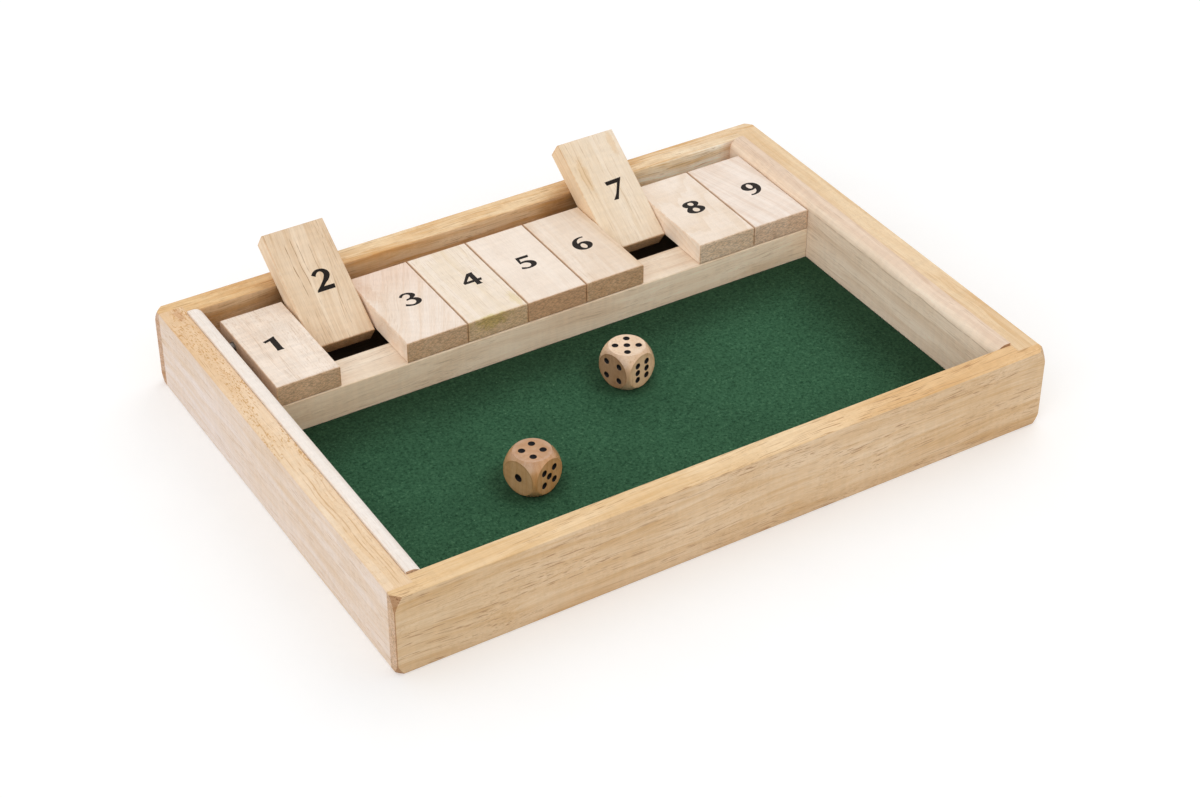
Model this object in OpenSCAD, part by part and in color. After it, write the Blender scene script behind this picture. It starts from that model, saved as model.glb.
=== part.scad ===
/* [Tray] */
// Outside length of the tray, left to right
tray_w = 280; // [240:1:330]
// Outside depth of the tray, front to back
tray_d = 202; // [185:1:240]
// Height of the four walls
wall_h = 34.4; // [33:0.2:40]
// Thickness of the four walls
wall_t = 10; // [8:0.5:12]
// How far a side wall's end is let into the front and back walls
lap = 5; // [4:0.5:6]
// Rounding of the edges of the walls
wall_ease = 0.6; // [0.3:0.1:1]
// Width of a blunted corner at the rim
rim_blunt_w = 3.5; // [2:0.5:5]
// How far down the upright edge a corner is blunted from the rim
rim_blunt_h = 9; // [6:0.5:14]
// Width of a blunted corner at the foot
foot_blunt_w = 3; // [2:0.5:5]
// How far up the upright edge a corner is blunted from the foot
foot_blunt_h = 7; // [6:0.5:14]

/* [Floor] */
// Thickness of the bottom panel
panel_t = 3; // [2:0.5:4]
// Height of the panel's underside above the table
panel_lift = 4.6; // [3:0.2:6]
// Depth of the groove that holds the panel
groove_d = 4; // [2.5:0.5:5]
// Slack round the panel in its groove
panel_slack = 0.1; // [0.05:0.05:0.3]
// Thickness of the felt
felt_t = 1; // [0.6:0.1:1.5]
// Gap between the felt's edge and the wood round it
felt_gap = 0.3; // [0.2:0.1:0.6]

/* [Liners] */
// Thickness of the liners inside the side walls
liner_t = 6.6; // [6:0.2:9]
// How far the liners stand above the walls
liner_proud = 0.8; // [0:0.1:1.2]
// Rounding of a liner's inner top edge
liner_r = 4.5; // [2:0.5:5.5]

/* [Tile rail] */
// Height of the rail above the bottom panel
rail_h = 14.2; // [13:0.2:16]
// Depth of the rail, front to back
rail_d = 16.7; // [12:0.5:20]
// Depth of the well between the rail and the back wall
well_d = 42; // [40:0.5:46]
// Gap between the rail's ends and the liners
rail_gap = 0.2; // [0.1:0.1:0.5]
// Rounding of the rail's long edges
rail_ease = 0.5; // [0.3:0.1:1]

/* [Tiles] */
// Length of a tile
tile_l = 51.6; // [46:0.2:56]
// Thickness of a tile
tile_t = 9.3; // [8.5:0.1:10.5]
// Length of a tile from its rod to its short end
tile_tail = 12.8; // [10:0.2:14]
// Running gap between neighbouring tiles
tile_gap = 0.3; // [0.2:0.1:0.6]
// Side play left over in the row
row_play = 4.4; // [3:0.2:7]
// How far tile 1 has slid towards the left liner
first_slide = 1.3; // [0:0.1:2]
// How far tile 2 has slid towards tile 1
second_slide = 0.6; // [0:0.1:1]
// Rounding of a tile's edges
tile_ease = 0.7; // [0.3:0.1:1.2]
// Gap under a shut tile, above the rail
seat_gap = 0.1; // [0.05:0.05:0.3]
// Gap between a raised tile and the back wall it leans on
lean_gap = 0.15; // [0.05:0.05:0.4]

/* [Rod] */
// Diameter of the rod
rod_d = 4; // [3:0.5:5]
// Distance of the rod from the back wall's inner face
rod_setback = 19.8; // [18:0.2:22]
// Radial clearance of the rod in a tile
tile_fit = 0.08; // [0.02:0.01:0.1]
// Radial clearance of the rod in a liner
liner_fit = 0.04; // [0.02:0.01:0.1]
// Gap between the rod's ends and the side walls
rod_end_gap = 0.2; // [0.1:0.1:0.5]

/* [Dice] */
// Width of a die across its flat faces
die_w = 16.2; // [12:0.2:18]
// Diameter of the ball that rounds a die off
die_ball = 21.8; // [20:0.2:25]
// Depth of a pip
pip_depth = 0.7; // [0.3:0.1:1]
// How much wider the lone pip of a one is than the others
ace_extra = 0.6; // [0:0.1:0.8]
// Least wood left between the pips of a six
pip_land = 0.4; // [0.2:0.1:0.6]
// Gap under a die, above the felt
die_gap = 0.05; // [0:0.05:0.2]
// Nearer die: place to the right of the middle
die_1_x = -53.1; // [-80:0.1:-30]
// Nearer die: place behind the middle
die_1_y = -43; // [-60:0.1:-20]
// Nearer die: turn about the upright
die_1_turn = 19.5; // [-45:0.5:45]
// Nearer die: distance of a corner pip from the face's middle, along each side
die_1_pitch = 2.8; // [2.2:0.1:3.6]
// Nearer die: width of a pip at the surface
die_1_pip = 2.8; // [1.5:0.1:3]
// Farther die: place to the right of the middle
die_2_x = 11.8; // [0:0.1:60]
// Farther die: place behind the middle
die_2_y = -4.2; // [-10:0.1:10]
// Farther die: turn about the upright
die_2_turn = 16; // [-45:0.5:45]
// Farther die: distance of a corner pip from the face's middle, along each side
die_2_pitch = 3.25; // [2.2:0.05:3.6]
// Farther die: width of a pip at the surface
die_2_pip = 2.7; // [1.5:0.1:3]

/* [Hidden] */
$fn = 48;

// Tiles in the row, numbered from the left
tile_count = 9;
// Tiles that stand open, leaning back on the back wall
raised = [2, 7];
// Width of a six's two columns of pips, as a share of the other faces'
six_narrow = 0.78;

// The tray's hollow
inner_w = tray_w - 2 * wall_t;
inner_d = tray_d - 2 * wall_t;
cheek_t = wall_t - lap;

// Blunting ends where a side wall begins
rim_reach = min(rim_blunt_w, cheek_t);
foot_reach = min(foot_blunt_w, cheek_t);

// The tray's floor
panel_top = panel_lift + panel_t;
felt_top = panel_top + felt_t;

// The bank of tiles between the liners
bank_w = inner_w - 2 * liner_t;
liner_h = wall_h + liner_proud - panel_top;
rail_back = inner_d / 2 - well_d;
rail_front = rail_back - rail_d;
rail_top = panel_top + rail_h;
tile_w = (bank_w - row_play - (tile_count + 1) * tile_gap) / tile_count;
rod_y = inner_d / 2 - rod_setback;
rod_z = rail_top + seat_gap + tile_t / 2;
rod_len = inner_w - 2 * rod_end_gap;

// A raised tile's slope: its rear face passes lean_gap clear of the back wall's rounded inner edge
edge_y = inner_d / 2 + wall_ease - rod_y;
edge_z = wall_h - wall_ease - rod_z;
lean = atan2(edge_z, edge_y)
    + asin((tile_t / 2 + lean_gap + wall_ease) / norm([edge_y, edge_z]));
open_turn = 180 - lean;

wall_wood = "#d9b684";
liner_wood = "#ecdccb";
rail_wood = "#cdb596";
tile_wood = "#ecd6b6";

// Middle of tile i: the row lies against the right liner, tiles 1 and 2 have slid a little left
function tile_x(i) = bank_w / 2 - tile_gap - tile_w / 2
    - (tile_count - i) * (tile_w + tile_gap)
    - (i == 1 ? first_slide : i == 2 ? second_slide : 0);
function is_raised(i) = len(search(i, raised)) > 0;

// Rectangle about the origin whose corners are true arcs
module eased_rect(w, h, r) {
    square([w - 2 * r, h], center = true);
    square([w, h - 2 * r], center = true);
    for (sx = [-1, 1], sy = [-1, 1])
        translate([sx * (w / 2 - r), sy * (h / 2 - r)]) circle(r);
}

// Straight bar along X with eased long edges, standing on z = 0 and centred on x and y
module bar_x(length, depth, height, ease) {
    translate([-length / 2, 0, height / 2])
        rotate([90, 0, 90]) linear_extrude(length) eased_rect(depth, height, ease);
}

// The same bar with its ends eased as well
module eased_bar_x(length, depth, height, ease) {
    intersection() {
        bar_x(length, depth, height, ease);
        linear_extrude(height) eased_rect(length, depth, ease);
        translate([0, depth / 2, height / 2])
            rotate([90, 0, 0]) linear_extrude(depth) eased_rect(length, height, ease);
    }
}

// What sanding takes off a corner at the origin that runs along +X, +Y and -Z: all that lies outside
// a ball which meets both rims at a distance of width and touches the upright edge at a depth of height
module corner_waste(width, height) {
    ball_in = (pow(width, 2) + pow(height, 2)) / (2 * width);
    difference() {
        translate([-1, -1, -height]) cube([width + 2, width + 2, height + 1]);
        translate([ball_in, ball_in, -height]) sphere(sqrt(2) * ball_in, $fn = 96);
    }
}

// A long wall at the front: blunted corners, a rabbet at each end for a side wall, a groove for the panel
module long_wall() {
    color(wall_wood)
    translate([0, -tray_d / 2 + wall_t / 2, 0])
        difference() {
            eased_bar_x(tray_w, wall_t, wall_h, wall_ease);
            for (s = [-1, 1])
                translate([s * tray_w / 2, wall_t - lap, wall_h / 2])
                    cube([2 * wall_t, wall_t, 2 * wall_h], center = true);
            translate([0, wall_t / 2, panel_lift + panel_t / 2])
                cube([inner_w + 2 * groove_d, 2 * groove_d, panel_t + 2 * panel_slack], center = true);
            for (side = [0, 1])
                mirror([side, 0, 0]) translate([-tray_w / 2, -wall_t / 2, 0]) {
                    translate([0, 0, wall_h]) corner_waste(rim_reach, rim_blunt_h);
                    mirror([0, 0, 1]) corner_waste(foot_reach, foot_blunt_h);
                }
        }
}

// A side wall on the left, grooved for the panel; its laps in the long walls keep square inner edges
module side_wall() {
    color(wall_wood)
    translate([-tray_w / 2 + wall_t / 2, 0, 0])
        difference() {
            union() {
                rotate([0, 0, 90]) bar_x(tray_d - 2 * cheek_t, wall_t, wall_h, wall_ease);
                for (s = [0, 1])
                    mirror([0, s, 0]) translate([0, inner_d / 2, 0]) cube([wall_t / 2, lap, wall_h]);
            }
            translate([wall_t / 2, 0, panel_lift + panel_t / 2])
                cube([2 * groove_d, tray_d, panel_t + 2 * panel_slack], center = true);
        }
}

module front_wall() long_wall();
module back_wall() rotate([0, 0, 180]) long_wall();
module left_wall() side_wall();
module right_wall() rotate([0, 0, 180]) side_wall();

// Thin panel whose edges sit in the four grooves
module bottom_panel() {
    edge = 2 * (groove_d - panel_slack);
    color("#c9a36e")
    translate([0, 0, panel_lift + panel_t / 2])
        cube([inner_w + edge, inner_d + edge, panel_t], center = true);
}

// Felt on the floor of the dice tray, between the front wall, the liners and the rail
module felt() {
    felt_front = -inner_d / 2 + felt_gap;
    color("#1f5138")
    translate([felt_gap - bank_w / 2, felt_front, panel_top])
        cube([bank_w - 2 * felt_gap, rail_front - felt_gap - felt_front, felt_t]);
}

// Batten inside the left wall: round inner top edge, bored through for the rod
module liner() {
    color(liner_wood)
    difference() {
        translate([-inner_w / 2, inner_d / 2, panel_top])
            rotate([90, 0, 0]) linear_extrude(inner_d)
                intersection() {
                    square([liner_t, liner_h]);
                    union() {
                        square([liner_t, liner_h - liner_r]);
                        square([liner_t - liner_r, liner_h]);
                        translate([liner_t - liner_r, liner_h - liner_r]) circle(liner_r);
                    }
                }
        translate([-inner_w / 2, rod_y, rod_z])
            rotate([0, 90, 0]) cylinder(d = rod_d + 2 * liner_fit, h = 3 * liner_t, center = true);
    }
}

module left_liner() liner();
module right_liner() mirror([1, 0, 0]) liner();

// Rail that the shut tiles' long ends lie on
module tile_rail() {
    color(rail_wood)
    translate([0, (rail_front + rail_back) / 2, panel_top])
        bar_x(bank_w - 2 * rail_gap, rail_d, rail_h, rail_ease);
}

// Steel rod through the tiles and both liners, its ends chamfered
module pivot_rod() {
    chamfer = rod_d / 8;
    color("#b9bcc0")
    translate([0, rod_y, rod_z]) rotate([0, 90, 0]) {
        cylinder(d = rod_d, h = rod_len - 2 * chamfer, center = true);
        for (s = [0, 1])
            mirror([0, 0, s]) translate([0, 0, rod_len / 2 - chamfer])
                cylinder(d1 = rod_d, d2 = rod_d - 2 * chamfer, h = chamfer);
    }
}

// A tile about its rod, shut: the long end points to the front
module tile_blank() {
    difference() {
        translate([0, tile_tail - tile_l / 2, 0])
            intersection() {
                rotate([90, 0, 0])
                    linear_extrude(tile_l, center = true) eased_rect(tile_w, tile_t, tile_ease);
                rotate([90, 0, 90])
                    linear_extrude(tile_w, center = true) eased_rect(tile_l, tile_t, tile_ease);
            }
        rotate([0, 90, 0])
            cylinder(d = rod_d + 2 * tile_fit, h = 2 * tile_w, center = true);
    }
}

module tile(i) {
    color(tile_wood)
    translate([tile_x(i), rod_y, rod_z])
        rotate([is_raised(i) ? -open_turn : 0, 0, 0]) tile_blank();
}

// Places of n pips on a face, with corner pips at +-1
function pips(n) = concat(
    n % 2 == 1 ? [[0, 0]] : [],
    n >= 2 ? [[-1, 1], [1, -1]] : [],
    n >= 4 ? [[1, 1], [-1, -1]] : [],
    n == 6 ? [[-1, 0], [1, 0]] : []
);

// The n pips of one face as shallow round dimples, on the face that looks up; a six is narrower
module face_pips(n, pitch, pip) {
    width = n == 1 ? pip + ace_extra : pip;
    cutter_r = (pow(width / 2, 2) + pow(pip_depth, 2)) / (2 * pip_depth);
    side_pitch = n == 6 ? six_narrow * pitch : pitch;
    long_pitch = n == 6 ? max(pitch, pip + pip_land) : pitch;
    for (p = pips(n))
        translate([p[0] * side_pitch, p[1] * long_pitch, die_w / 2 + cutter_r - pip_depth])
            sphere(cutter_r);
}

// A die on the felt: a cube rounded off by a ball, opposite faces adding up to seven
module die(x, y, turn, pitch, pip, top, left, front) {
    translate([x, y, felt_top + die_gap + die_w / 2]) rotate([0, 0, turn])
        difference() {
            intersection() {
                cube(die_w, center = true);
                sphere(d = die_ball);
            }
            face_pips(top, pitch, pip);
            rotate([180, 0, 0]) face_pips(7 - top, pitch, pip);
            rotate([90, 0, 0]) face_pips(front, pitch, pip);
            rotate([90, 0, 180]) face_pips(7 - front, pitch, pip);
            rotate([90, 0, -90]) face_pips(left, pitch, pip);
            rotate([90, 0, 90]) face_pips(7 - left, pitch, pip);
        }
}

module die_1() color("#cf9a66") die(die_1_x, die_1_y, die_1_turn, die_1_pitch, die_1_pip, 4, 1, 5);
module die_2() color("#e0bf97") die(die_2_x, die_2_y, die_2_turn, die_2_pitch, die_2_pip, 5, 4, 6);

front_wall();
back_wall();
left_wall();
right_wall();
bottom_panel();
felt();
left_liner();
right_liner();
tile_rail();
pivot_rod();
for (i = [1 : tile_count])
    tile(i);
die_1();
die_2();
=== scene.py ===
# Shut the box game: wood, felt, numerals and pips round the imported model, with lights and camera
import math

import bmesh
import bpy
from mathutils import Matrix, Vector, noise


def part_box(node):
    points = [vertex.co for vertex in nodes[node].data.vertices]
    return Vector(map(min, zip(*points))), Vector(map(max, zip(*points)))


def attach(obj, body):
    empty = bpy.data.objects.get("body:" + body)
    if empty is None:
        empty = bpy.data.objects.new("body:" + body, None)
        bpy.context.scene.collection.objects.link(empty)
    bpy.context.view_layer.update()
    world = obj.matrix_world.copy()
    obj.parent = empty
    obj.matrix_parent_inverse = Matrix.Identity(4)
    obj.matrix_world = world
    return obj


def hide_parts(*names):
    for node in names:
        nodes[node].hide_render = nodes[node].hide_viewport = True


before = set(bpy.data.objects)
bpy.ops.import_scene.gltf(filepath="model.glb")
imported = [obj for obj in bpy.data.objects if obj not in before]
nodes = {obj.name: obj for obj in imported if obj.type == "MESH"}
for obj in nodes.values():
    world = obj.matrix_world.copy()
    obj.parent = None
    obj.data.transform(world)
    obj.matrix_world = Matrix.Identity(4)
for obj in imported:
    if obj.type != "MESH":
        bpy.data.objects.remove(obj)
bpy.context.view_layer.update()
mm = 0.001
across = Vector((1, 0, 0))
away = Vector((0, 1, 0))
upright = Vector((0, 0, 1))
print("frame loaded:", len(nodes), "pieces")


def placeObject(name, data):
    obj = bpy.data.objects.new(name, data)
    bpy.context.scene.collection.objects.link(obj)
    return obj


view = {
    "target": (-9.9, -19.8, 17.0),  # millimetres
    "distance": 940.9,
    "azimuth": -31.478,  # degrees, 0 looks along +Y
    "elevation": 36.391,
    "roll": 0.203,
    "lens": 73.9, "sensor": 36,  # millimetres
    "clip": (0.05, 50),  # metres
}


def placeCamera():
    turn, lift = math.radians(view["azimuth"]), math.radians(view["elevation"])
    back = Vector((math.sin(turn) * math.cos(lift), -math.cos(turn) * math.cos(lift), math.sin(lift)))
    data = bpy.data.cameras.new("camera")
    data.lens = view["lens"]
    data.sensor_width = view["sensor"]
    data.clip_start, data.clip_end = view["clip"]
    obj = placeObject("camera", data)
    spot = Vector(view["target"]) * mm + back * view["distance"] * mm
    aim = (-back).to_track_quat("-Z", "Y").to_matrix().to_4x4()
    obj.matrix_world = Matrix.Translation(spot) @ aim @ Matrix.Rotation(math.radians(view["roll"]), 4, "Z")
    bpy.context.scene.camera = obj


placeCamera()
print("camera placed")


noiseSpan = (0.3, 0.7)  # nearly all of a noise lies in here


def addNode(tree, kind, inputs=None, **settings):
    node = tree.nodes.new("ShaderNode" + kind)
    for name, value in settings.items():
        setattr(node, name, value)
    for key, value in (inputs or {}).items():
        if isinstance(value, bpy.types.NodeSocket):
            tree.links.new(value, node.inputs[key])
        else:
            node.inputs[key].default_value = value
    return node


def calc(tree, operation, *values, clamp=False):
    return addNode(tree, "Math", dict(enumerate(values)), operation=operation, use_clamp=clamp).outputs[0]


def ramp(tree, value, low, high, start=0.0, end=1.0):
    # smooth step of value from start at low to end at high
    inputs = {"Value": value, "From Min": low, "From Max": high, "To Min": start, "To Max": end}
    return addNode(tree, "MapRange", inputs, interpolation_type="SMOOTHSTEP").outputs[0]


def vectorCalc(tree, operation, *values):
    output = "Value" if operation in ("LENGTH", "DOT_PRODUCT") else "Vector"
    return addNode(tree, "VectorMath", dict(enumerate(values)), operation=operation).outputs[output]


def splitVector(tree, vector):
    return addNode(tree, "SeparateXYZ", {0: vector}).outputs


def blendColour(tree, share, under, over, blend="MIX"):
    return addNode(tree, "Mix", {0: share, 6: under, 7: over}, data_type="RGBA", blend_type=blend).outputs[2]


def tintColour(tree, share, colour, tint):
    return blendColour(tree, share, colour, (*tint, 1), "MULTIPLY")


def greyColour(tree, value):
    return addNode(tree, "CombineColor", {0: value, 1: value, 2: value}).outputs[0]


def patternNoise(tree, coords, stretch, detail=2.0, rough=0.5, shift=0.0):
    # noise over coordinates that are stretched by a factor along each axis; shift picks another part of it
    moved = vectorCalc(tree, "ADD", vectorCalc(tree, "MULTIPLY", coords, stretch), (shift, shift, shift))
    inputs = {"Vector": moved, "Scale": 1.0, "Detail": detail, "Roughness": rough}
    return addNode(tree, "TexNoise", inputs).outputs["Fac"]


def driftNoise(tree, coords, stretch, reach):
    # slow sideways wander of the coordinates, up to about half of reach along each of their axes
    inputs = {"Vector": vectorCalc(tree, "MULTIPLY", coords, stretch), "Scale": 1.0, "Detail": 2.0}
    centred = vectorCalc(tree, "SUBTRACT", addNode(tree, "TexNoise", inputs).outputs["Color"],
                         (0.5, 0.5, 0.5))
    return vectorCalc(tree, "ADD", coords, vectorCalc(tree, "MULTIPLY", centred, reach))


def newGroup(name, inputs, outputs):
    tree = bpy.data.node_groups.new(name, "ShaderNodeTree")
    kinds = {"vector": "NodeSocketVector", "colour": "NodeSocketColor", "value": "NodeSocketFloat"}
    for socket, (kind, default) in inputs.items():
        made = tree.interface.new_socket(socket, in_out="INPUT", socket_type=kinds[kind])
        made.default_value = default
    for socket, kind in outputs.items():
        tree.interface.new_socket(socket, in_out="OUTPUT", socket_type=kinds[kind])
    return tree, tree.nodes.new("NodeGroupInput").outputs, tree.nodes.new("NodeGroupOutput").inputs


def newMaterial(name):
    material = bpy.data.materials.new(name)
    material.use_nodes = True
    return material, material.node_tree, material.node_tree.nodes["Principled BSDF"]


def addBump(tree, shader, height, strength, distance):
    bump = addNode(tree, "Bump", {"Strength": strength, "Distance": distance, "Height": height})
    tree.links.new(bump.outputs[0], shader.inputs["Normal"])


def finishMesh(bm, name):
    mesh = bpy.data.meshes.new(name)
    bm.to_mesh(mesh)
    bm.free()
    return mesh


figure = {  # how rubberwood is drawn, at this many waves in a mm along, across and through the grain
    "drift": (0.012, 0.05, 0.05), "driftReach": (0.0, 9.0, 9.0),  # slow bends, in mm
    "fields": {
        "wander": {"stretch": (0.01, 0.12, 0.12), "detail": 3.0, "shift": 11.0},
        "broad": {"stretch": (0.010, 0.38, 0.38), "detail": 3.0, "rough": 0.6, "shift": 3.0},
        "middle": {"stretch": (0.020, 1.15, 1.15), "detail": 3.0, "rough": 0.6, "shift": 17.0},
        "fine": {"stretch": (0.05, 2.9, 2.9), "rough": 0.6, "shift": 7.0},
        "fibre": {"stretch": (0.30, 9.0, 9.0), "shift": 23.0},
        "cloud": {"stretch": (0.022, 0.07, 0.07), "detail": 3.0, "shift": 31.0},
        "pore": {"stretch": (0.085, 2.3, 2.3), "detail": 1.0, "shift": 41.0},
        "poreZone": {"stretch": (0.016, 0.13, 0.13), "shift": 47.0},
        "fleck": {"stretch": (0.70, 1.50, 1.50), "rough": 0.6, "shift": 53.0},
        "fleckZone": {"stretch": (0.03, 0.10, 0.10), "detail": 1.0, "shift": 59.0},
        "ripple": {"stretch": (0.45, 0.10, 0.10), "shift": 67.0},
    },
    "levels": {  # where each begins to show in its noise, and where it shows fully
        "broad": (0.40, 0.66), "middle": (0.42, 0.68), "fine": (0.44, 0.70), "cloud": (0.35, 0.68),
        "pore": (0.585, 0.68), "poreZone": (0.36, 0.58), "fleck": (0.54, 0.68), "fleckZone": (0.40, 0.58),
        "ripple": noiseSpan,
    },
    "streakShares": {"broad": 0.55, "middle": 0.45, "fine": 0.30},
    "ringWander": 2.2,  # how many rings the wander moves one by
    "ringPeak": 0.92, "ringStart": 0.25,  # a ring darkens slowly up to its peak and ends sharply
    "sparkle": (0.25, 0.75, 0.94, 1.06),
    "relief": {"fibre": 0.35, "pore": 0.6, "fine": 0.3},  # pores are sunk, the others stand up
}


def makeGrainGroup():
    # growth rings, long streaks, thin brown dashes, warm flecks and ripples across the grain; x runs along
    # the grain, in mm
    tree, given, result = newGroup("woodGrain", {
        "Vector": ("vector", (0, 0, 0)),
        "Pale": ("colour", (0.85, 0.7, 0.5, 1)),
        "Warm": ("colour", (0.7, 0.5, 0.3, 1)),
        "Dark": ("colour", (0.35, 0.2, 0.1, 1)),
        "Rings": ("value", 0.3),
        "Ring Gap": ("value", 6.0),
        "Streaks": ("value", 0.5),
        "Pores": ("value", 0.5),
        "Flecks": ("value", 0.2),
        "Mottle": ("value", 0.3),
        "Ripple": ("value", 0.2),
    }, {"Color": "colour", "Height": "value", "Pore Mask": "value"})
    coords = driftNoise(tree, given["Vector"], figure["drift"], figure["driftReach"])
    drawn = {name: patternNoise(tree, coords, **field) for name, field in figure["fields"].items()}
    shown = {name: ramp(tree, drawn[name], *level) for name, level in figure["levels"].items()}

    _, side, depth = splitVector(tree, coords)
    radius = calc(tree, "SQRT", calc(tree, "ADD", calc(tree, "POWER", side, 2.0),
                                     calc(tree, "POWER", depth, 2.0)))
    turns = calc(tree, "ADD", calc(tree, "DIVIDE", radius, given["Ring Gap"]),
                 calc(tree, "MULTIPLY", drawn["wander"], figure["ringWander"]))
    ring = calc(tree, "FRACT", turns)
    ring = calc(tree, "MULTIPLY", ramp(tree, ring, figure["ringStart"], figure["ringPeak"]),
                ramp(tree, ring, figure["ringPeak"], 1.0, 1.0, 0.0))

    pore = calc(tree, "MULTIPLY", shown["pore"], shown["poreZone"])
    pore = calc(tree, "MULTIPLY", pore, given["Pores"], clamp=True)
    fleck = calc(tree, "MULTIPLY", shown["fleck"], shown["fleckZone"])
    fleck = calc(tree, "MULTIPLY", fleck, given["Flecks"], clamp=True)
    streak = 0.0
    for name, share in figure["streakShares"].items():
        streak = calc(tree, "ADD", streak, calc(tree, "MULTIPLY", shown[name], share))
    streak = calc(tree, "MULTIPLY", streak, given["Streaks"])
    ringShare = calc(tree, "MULTIPLY", ring, given["Rings"])
    cloudShare = calc(tree, "MULTIPLY", shown["cloud"], given["Mottle"])
    warmShare = calc(tree, "ADD", calc(tree, "ADD", streak, ringShare), cloudShare, clamp=True)

    colour = blendColour(tree, warmShare, given["Pale"], given["Warm"])
    colour = blendColour(tree, fleck, colour, blendColour(tree, 0.5, given["Warm"], given["Dark"]))
    colour = blendColour(tree, pore, colour, given["Dark"])
    sparkle = ramp(tree, drawn["fibre"], *figure["sparkle"])
    sheen = calc(tree, "MULTIPLY", calc(tree, "SUBTRACT", shown["ripple"], 0.5), given["Ripple"])
    colour = blendColour(tree, 1.0, colour, greyColour(tree, calc(tree, "ADD", sparkle, sheen)), "MULTIPLY")
    relief = figure["relief"]
    height = calc(tree, "SUBTRACT", calc(tree, "MULTIPLY", drawn["fibre"], relief["fibre"]),
                  calc(tree, "MULTIPLY", pore, relief["pore"]))
    height = calc(tree, "ADD", height, calc(tree, "MULTIPLY", drawn["fine"], relief["fine"]))
    tree.links.new(colour, result["Color"])
    tree.links.new(height, result["Height"])
    tree.links.new(pore, result["Pore Mask"])
    return tree


edgeWear = {"field": {"stretch": (0.5, 0.5, 0.5), "detail": 3.0}, "width": (0.5, 1.5)}  # how uneven it is


def makeEdgeGroup():
    # mask of a board's long and short edges, from its half size; the vector and size are in mm
    tree, given, result = newGroup("boardEdges", {
        "Vector": ("vector", (0, 0, 0)),
        "Half Size": ("vector", (10, 10, 10)),
        "Width": ("value", 0.8),
    }, {"Edge": "value"})
    depth = vectorCalc(tree, "SUBTRACT", given["Half Size"], vectorCalc(tree, "ABSOLUTE", given["Vector"]))
    a, b, c = splitVector(tree, depth)
    nearer, farther = calc(tree, "MINIMUM", a, b), calc(tree, "MAXIMUM", a, b)
    middle = calc(tree, "MAXIMUM", nearer, calc(tree, "MINIMUM", farther, c))  # distance to the nearest edge
    uneven = patternNoise(tree, given["Vector"], **edgeWear["field"])
    reach = calc(tree, "MULTIPLY", given["Width"], ramp(tree, uneven, *noiseSpan, *edgeWear["width"]))
    tree.links.new(calc(tree, "SUBTRACT", 1.0, calc(tree, "DIVIDE", middle, reach), clamp=True),
                   result["Edge"])
    return tree


grainGroup = makeGrainGroup()
edgeGroup = makeEdgeGroup()


def pieceAxes(name, grain):
    # centre and axes of a piece: along its grain, across it, and out of its broad face
    obj = nodes[name]
    if grain == "tile":  # it may lie or lean, so its broad face is the largest one that looks up
        areas = {}
        for face in obj.data.polygons:
            key = tuple(round(v, 2) for v in face.normal)
            areas[key] = areas.get(key, 0) + face.area
        out = Vector(max((key for key in areas if key[2] > 0.3), key=areas.get)).normalized()
        facing = max(obj.data.polygons, key=lambda face: (face.normal.dot(out) > 0.999) * face.area)
        out = facing.normal.copy()
        along = out.cross(across).normalized()
    else:
        out = upright.copy()
        along = (across if grain == "x" else away).copy()
    side = out.cross(along).normalized()
    axes = (along, side, out)
    spans = []
    for axis in axes:
        marks = [axis.dot(v.co) for v in obj.data.vertices]
        spans.append((min(marks), max(marks)))
    centre = sum((axis * (low + high) / 2 for axis, (low, high) in zip(axes, spans)), Vector())
    half = [(high - low) / 2 for low, high in spans]
    return centre, axes, half


def boardCoords(tree, centre, axes, skew=0.0, dip=0.0, roll=0.0):
    # object coordinates turned onto a piece, in mm; skew turns the grain across the broad face, dip tips it
    # through that face, and roll turns the board about its grain
    basis = Matrix(axes).transposed() @ Matrix.Rotation(math.radians(skew), 3, "Z")
    basis = basis @ Matrix.Rotation(math.radians(dip), 3, "Y") @ Matrix.Rotation(math.radians(roll), 3, "X")
    where = addNode(tree, "TexCoord")
    return addNode(tree, "Mapping", {
        "Vector": where.outputs["Object"], "Location": centre, "Rotation": basis.to_euler(),
        "Scale": (mm, mm, mm)}, vector_type="TEXTURE").outputs[0], where.outputs["Normal"]


def facingMask(tree, normal, direction, low=0.35, high=0.9, bothWays=False):
    turned = vectorCalc(tree, "DOT_PRODUCT", normal, direction)
    return ramp(tree, calc(tree, "ABSOLUTE", turned) if bothWays else turned, low, high)


def addShades(tree, colour, straight, normal, look):
    # slow changes of tone, and painted light and shade, along, across or through a board, each on the side
    # that looks the given way
    places = dict(zip(("along", "across", "through"), splitVector(tree, straight)))
    for shade in look["shades"]:
        share = facingMask(tree, normal, shade["side"]) if "side" in shade else None
        for axis, place in places.items():
            if axis in shade:
                part = ramp(tree, place, *shade[axis])
                share = part if share is None else calc(tree, "MULTIPLY", share, part)
        colour = tintColour(tree, share, colour, shade["tint"])
    return colour


vessels = {  # single long pores that the saw laid open
    "wobble": (0.05, 0.0, 0.0), "wobbleReach": (0.0, 2.2, 2.2),
    "broken": {"stretch": (0.22, 0.9, 0.9), "shift": 71.0}, "gaps": (0.34, 0.52, 0.25, 1.0),
    "taper": 3.0,  # length of each tip in mm
    "core": 0.3,  # share of the half width that is fully dark
}


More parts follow.
